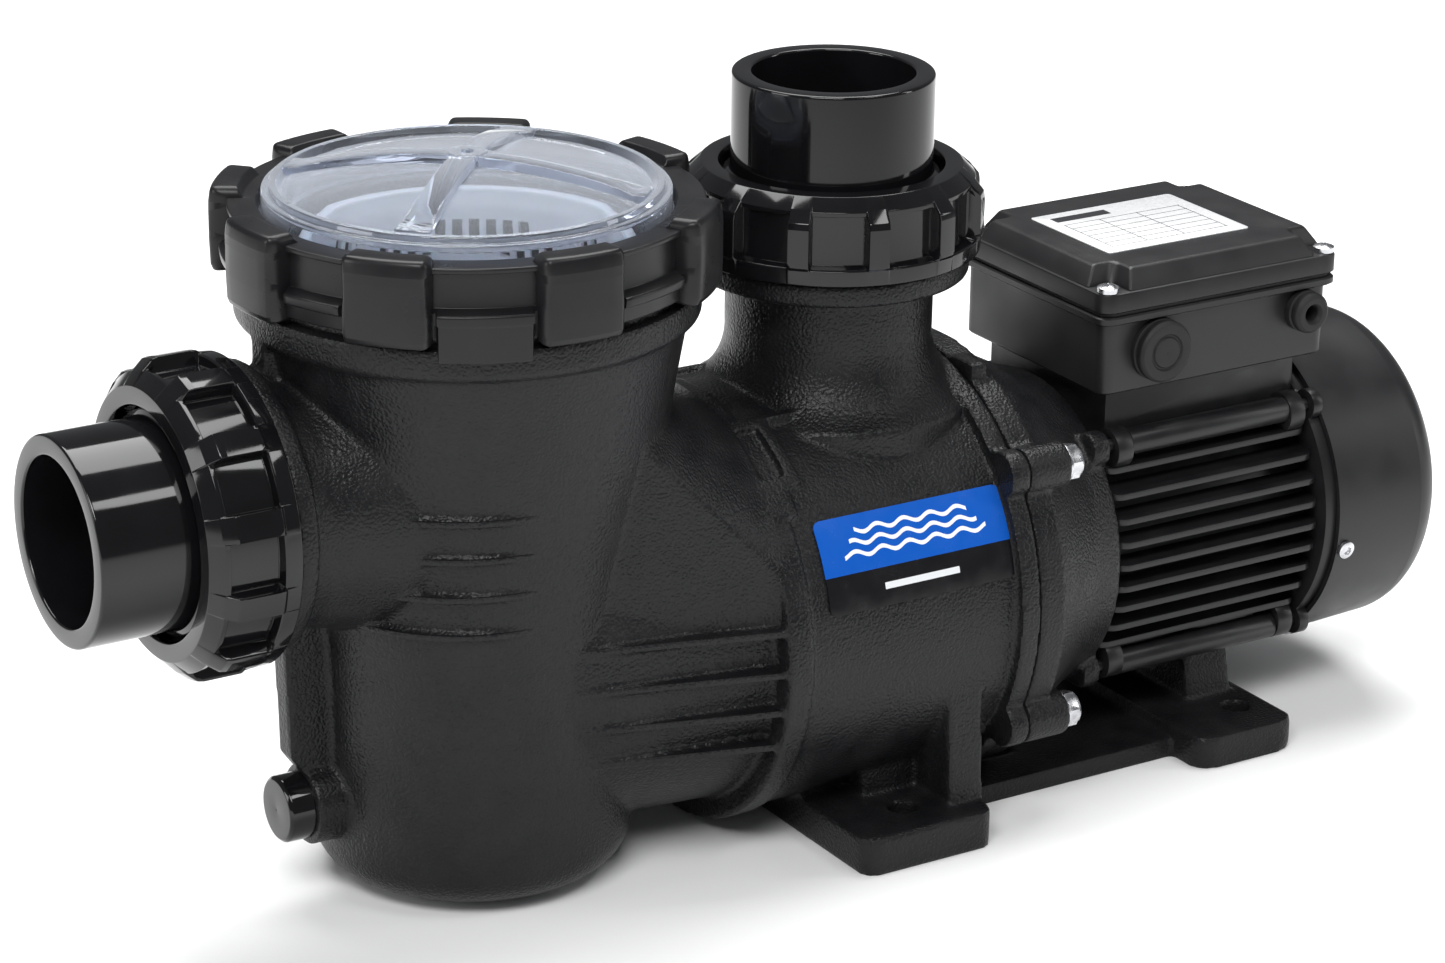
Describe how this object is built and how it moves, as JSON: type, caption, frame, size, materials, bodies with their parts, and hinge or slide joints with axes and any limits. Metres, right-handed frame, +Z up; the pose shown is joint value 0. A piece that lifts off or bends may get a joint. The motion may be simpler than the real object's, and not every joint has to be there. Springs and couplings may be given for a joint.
{
  "type": "pool pump",
  "caption": "Self-priming pump for pool water: strainer pot under a clear lid, volute with two pipe unions, and a fan-cooled electric motor on a shared foot.",
  "frame": {"origin": "on the mounting plane, straight below the discharge port's axis", "axes": "+X along the shaft from the suction port to the motor, +Z up along the discharge port"},
  "size_m": [0.57, 0.184, 0.281],
  "materials": {
    "pump_plastic": "leather-grain moulded",
    "base_plastic": "fine-grain moulded",
    "union_plastic": "polished",
    "ring_plastic": "satin",
    "clear_lid": "clear, faint blue",
    "basket_plastic": "satin",
    "seal_rubber": "matte",
    "inner_plastic": "moulded",
    "motor_paint": "satin black paint",
    "cover_plastic": "satin",
    "plug_rubber": "satin",
    "zinc_steel": "bright zinc",
    "dark_steel": "black oxide",
    "shaft_steel": "ground",
    "core_steel": "laminated",
    "winding_copper": "enamelled copper",
    "seal_ceramic": "lapped",
    "plate_foil": "printed foil",
    "label_film": "printed film",
    "capacitor_can": "moulded can"
  },
  "bodies": {
    "root": {"pump_housing": "pump_plastic", "seal_plate": "pump_plastic", "motor_base": "base_plastic", "suction_o_ring": "seal_rubber", "discharge_o_ring": "seal_rubber", "housing_o_ring": "seal_rubber", "diffuser_o_ring": "seal_rubber", "box_gasket": "seal_rubber", "diffuser": "inner_plastic", "terminal_block": "inner_plastic", "motor_frame": "motor_paint", "front_end_bell": "motor_paint", "rear_end_bell": "motor_paint", "tie_rod_sleeves": "motor_paint", "fan_cover": "cover_plastic", "terminal_box": "cover_plastic", "terminal_box_lid": "cover_plastic", "conduit_plug": "plug_rubber", "cable_gland": "plug_rubber", "flange_bolts": "zinc_steel", "flange_washers": "zinc_steel", "fan_cover_screws": "zinc_steel", "box_screws": "zinc_steel", "tie_rods": "dark_steel", "front_bearing": "shaft_steel", "rear_bearing": "shaft_steel", "stator_core": "core_steel", "stator_windings": "winding_copper", "seal_seat": "seal_ceramic", "rating_plate": "plate_foil", "body_label": "label_film", "capacitor": "capacitor_can"},
    "rotor": {"motor_shaft": "shaft_steel", "rotor_core": "core_steel", "impeller": "inner_plastic", "seal_head": "seal_ceramic", "cooling_fan": "inner_plastic"},
    "lid": {"strainer_lid": "clear_lid", "lid_o_ring": "seal_rubber"},
    "lock_ring": {"lock_ring": "ring_plastic"},
    "basket": {"strainer_basket": "basket_plastic"},
    "suction_tail": {"suction_tailpiece": "union_plastic"},
    "suction_nut": {"suction_nut": "union_plastic"},
    "discharge_tail": {"discharge_tailpiece": "union_plastic"},
    "discharge_nut": {"discharge_nut": "union_plastic"},
    "drain_seal": {"drain_o_ring": "seal_rubber"},
    "drain_plug": {"drain_plug": "union_plastic"}
  },
  "joints": [
    {"name": "shaft_spin", "type": "hinge", "parent": "root", "child": "rotor", "pos_m": [0, 0, 0.085], "axis": [1, 0, 0], "continuous": true},
    {"name": "lid_lift", "type": "slide", "parent": "root", "child": "lid", "axis": [0, 0, 1], "range_m": [0, 0.25]},
    {"name": "ring_turn", "type": "hinge", "parent": "lid", "child": "lock_ring", "pos_m": [-0.153, 0, 0.24], "axis": [0, 0, 1], "range_deg": [0, 45]},
    {"name": "basket_lift", "type": "slide", "parent": "root", "child": "basket", "axis": [0, 0, 1], "range_m": [0, 0.1876]},
    {"name": "suction_tail_pull", "type": "slide", "parent": "root", "child": "suction_tail", "axis": [-1, 0, 0], "range_m": [0, 0.0181]},
    {"name": "suction_nut_turn", "type": "hinge", "parent": "suction_tail", "child": "suction_nut", "pos_m": [-0.263, 0, 0.156], "axis": [-1, 0, 0], "range_deg": [0, 1080]},
    {"name": "discharge_tail_pull", "type": "slide", "parent": "root", "child": "discharge_tail", "axis": [0, 0, 1], "range_m": [0, 0.0181]},
    {"name": "discharge_nut_turn", "type": "hinge", "parent": "discharge_tail", "child": "discharge_nut", "pos_m": [0, 0, 0.231], "axis": [0, 0, 1], "range_deg": [0, 1080]},
    {"name": "drain_seal_pull", "type": "slide", "parent": "root", "child": "drain_seal", "axis": [-1, 0, 0], "range_m": [0, 0.0181]},
    {"name": "drain_plug_turn", "type": "hinge", "parent": "drain_seal", "child": "drain_plug", "pos_m": [-0.228, 0, 0.037], "axis": [-1, 0, 0], "range_deg": [0, 2160]}
  ],
  "couplings": [
    {"joint": "basket_lift", "follows": "lid_lift", "ratio": 0.75},
    {"joint": "suction_tail_pull", "follows": "suction_nut_turn", "m_per_rad": 0.00095493},
    {"joint": "discharge_tail_pull", "follows": "discharge_nut_turn", "m_per_rad": 0.00095493},
    {"joint": "drain_seal_pull", "follows": "drain_plug_turn", "m_per_rad": 0.00047746}
  ]
}
